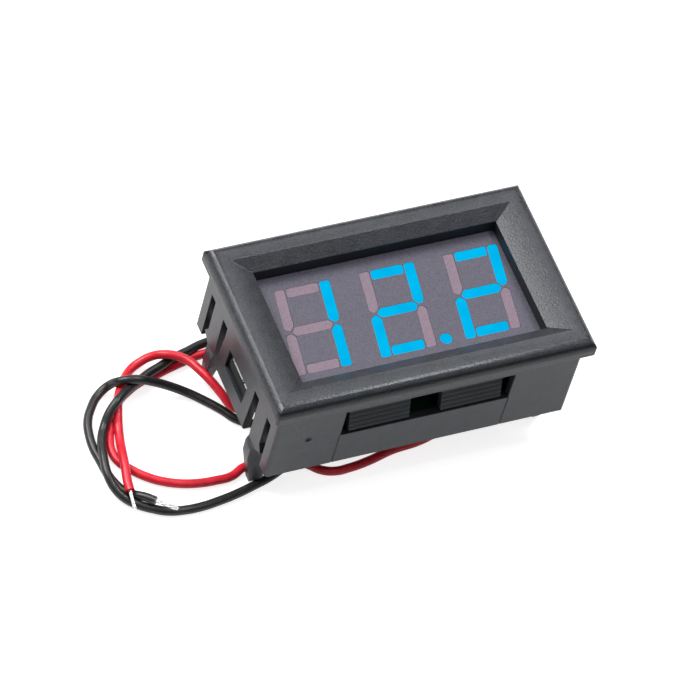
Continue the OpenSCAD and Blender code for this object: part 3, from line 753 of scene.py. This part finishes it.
# %% Metals
def metal(name, dark, bright, roughness):
    """A slightly uneven metal."""
    made = Finish(name, bright, roughness, Metallic=1)
    cloudy = made.noise(3, 3)
    made.feed("Base Color", made.mix(cloudy.between(0.35, 0.65), dark, bright))
    made.feed("Roughness", roughness - 0.06 + cloudy * 0.14)
    made.bump(made.noise(8, 2), 0.006)
    return made


tin = metal("tinned_metal", (0.62, 0.62, 0.62), (0.86, 0.86, 0.85), 0.26)
tin.cover(red_strands, black_strands, "display_pins", "trimmer_rotor")
solder = metal("solder", (0.5, 0.51, 0.52), (0.78, 0.78, 0.77), 0.3)
solder.cover(pin_joints, lead_joints)

# %% [markdown]
# ## Chips
# A chip is one CAD piece with its body and its metal ends. Its faces could be sorted between
# two materials. A single finish that turns to metal where the body stops needs no sorting, as
# the place of a point already says on which side of the body's edge it lies.

# %% Chips
TINNED_END = (0.8, 0.8, 0.79)


def beyond(finish, letter, middle, half):
    """1 where a point is further than half from the middle, along this axis."""
    return abs(finish.axis(letter) - middle) > half


def chip_finish(name, body, ends, roughness=0.5):
    """A body colour that gives way to tinned metal where ends(finish) is 1."""
    made = Finish(name, body, roughness)
    fine = made.noise(6, 2)
    shown = ends(made)
    tone = made.mix(fine.between(0.35, 0.65), [part * 0.8 for part in body],
                    [part * 1.2 for part in body])
    made.feed("Base Color", made.mix(shown, tone, TINNED_END))
    made.feed("Metallic", shown)
    made.feed("Roughness", roughness + fine * 0.1 - shown * 0.25)
    made.bump(fine, 0.008)
    return made


def capacitor_ends(finish):
    """The ends of the small row on the left, the large one and the small one on the right."""
    x, y = finish.axis("X"), finish.axis("Y")
    return (beyond(finish, "X", -18, 0.65) * (x < 0)
            + beyond(finish, "X", 12.2, 1.15) * (y > 0)
            + beyond(finish, "X", 11.6, 0.65) * (x > 0) * (y < 0))


chip_finish("controller", (0.018, 0.018, 0.02),
            lambda made: beyond(made, "Y", 0, 3.77)).cover("microcontroller")
chip_finish("regulator", (0.018, 0.018, 0.02),
            lambda made: beyond(made, "Y", 3.6, 1.26)).cover("voltage_regulator")
chip_finish("diode", (0.02, 0.02, 0.02),
            lambda made: beyond(made, "X", 12.4, 2.16)).cover("input_diode")
chip_finish("resistors", (0.02, 0.02, 0.022),
            lambda made: beyond(made, "X", -14.5, 0.65)).cover("chip_resistors")
chip_finish("capacitors", (0.32, 0.2, 0.11), capacitor_ends).cover("chip_capacitors")

# %% [markdown]
# ## The trimmer's base
# The small blue block is moulded nylon. Flat blue would look like a drawing, so its colour
# drifts a little and a low grain dulls it.

# %% Trimmer
trimmer = Finish("blue_nylon", (0.03, 0.1, 0.34), 0.4)
trimmer.feed("Base Color", trimmer.mix(trimmer.noise(2, 2).between(0.35, 0.65),
                                       (0.025, 0.085, 0.3), (0.035, 0.12, 0.38)))
trimmer.bump(trimmer.noise(8, 2), 0.008)
trimmer.cover("trimmer_base")

# %% [markdown]
# ## Wire insulation
# PVC hook-up wire is smooth with a soft shine. Extrusion leaves it very slightly uneven, and
# handling leaves matt patches. Both could be painted on by hand. Noise does it evenly on both
# leads: their roughness wanders, and the surface has a faint ripple.

# %% Insulation
def insulation(name, low, high, roughness):
    """Soft PVC whose colour runs from low to high."""
    made = Finish(name, high, roughness, Specular_IOR_Level=0.5)
    patch = made.noise(0.6, 3)
    made.feed("Base Color", made.mix(patch.between(0.35, 0.65), low, high))
    made.feed("Roughness", roughness - 0.05 + patch * 0.14)
    made.bump(made.noise(1.6, 3), 0.02)
    return made


red_vinyl = insulation("red_vinyl", (0.72, 0.016, 0.036), (0.88, 0.024, 0.05), 0.28)
red_vinyl.cover(red_insulation)
black_vinyl = insulation("black_vinyl", (0.016, 0.018, 0.019), (0.024, 0.026, 0.028), 0.3)
black_vinyl.cover(black_insulation)

# %% [markdown]
# ## The bench
# The meter stands on a plain white bench. A white floor that is lit like the object would turn
# grey at its far side. A stronger lamp would bleach the meter too, so for the camera and in
# reflections the floor also glows a little, while it still takes the object's shadow.

# %% Floor
FLOOR_SIZE = 6
FLOOR_DROP = 0.00002
SEEN_GLOW = 0.8
REFLECTED_GLOW = 0.45

bpy.ops.mesh.primitive_plane_add(size=FLOOR_SIZE, location=(0, 0, -FLOOR_DROP))
floor = bpy.context.object
floor.name = "bench"
paper = Finish("bench_paper", (0.62, 0.62, 0.62), 0.9, Specular_IOR_Level=0)
seen, mirrored, through = (paper.node("ShaderNodeLightPath", output=kind) for kind in
                           ("Is Camera Ray", "Is Glossy Ray", "Is Transmission Ray"))
strength = seen * SEEN_GLOW + (mirrored + through) * REFLECTED_GLOW
glow = paper.node("ShaderNodeEmission",
                  inputs={"Color": (1, 1, 1, 1), "Strength": strength})
lit_and_glowing = paper.node("ShaderNodeAddShader", inputs={
    0: Value(paper, paper.shader.outputs[0]), 1: glow})
paper.join(lit_and_glowing, paper.tree.nodes["Material Output"].inputs["Surface"])
paper.cover(floor)

# %% [markdown]
# ## World and lamps
# Dark satin plastic is drawn by what it reflects. Bare bulbs would leave small hard glints, so
# the lamps are large soft boxes: one overhead for the level, one behind and one at the left for
# long quiet highlights on the walls and edges, and a small strong one that lights the front.
# The world is white to the camera and only dim to the object, so the shadows keep their depth.

# %% World
AMBIENT = 0.15

world = bpy.data.worlds.new("studio")
scene.world = world
world.use_nodes = True
sky = Net(world.node_tree)
background = world.node_tree.nodes["Background"]
to_camera = sky.node("ShaderNodeLightPath", output="Is Camera Ray")
sky.join((1, 1, 1, 1), background.inputs["Color"])
sky.join(to_camera * (1 - AMBIENT) + AMBIENT, background.inputs["Strength"])
print("world of", len(world.node_tree.nodes), "nodes")


# %% Lamps
def lamp(name, direction, distance, size, radiance, colour=(1, 1, 1)):
    """A square softbox that shines at the meter from this direction."""
    spot = Vector(direction).normalized() * distance
    bpy.ops.object.light_add(type="AREA", location=spot)
    box = bpy.context.object
    box.name = name
    box.data.size = size
    box.data.energy = radiance * math.pi * size * size
    box.data.color = colour
    box.rotation_euler = (-spot).to_track_quat("-Z", "Y").to_euler()


lamp("overhead", (0.1, -0.1, 1), distance=0.8, size=0.9, radiance=0.7)
lamp("back_softbox", (0.35, 0.49, 0.8), distance=0.8, size=0.45, radiance=1.9)
lamp("left_softbox", (-0.42, 0.49, 0.76), distance=0.7, size=0.44, radiance=8,
     colour=(1, 0.96, 0.93))
lamp("front_strip", (0.35, -0.04, 0.93), distance=0.8, size=0.2, radiance=12)

scene.view_settings.view_transform = "Standard"
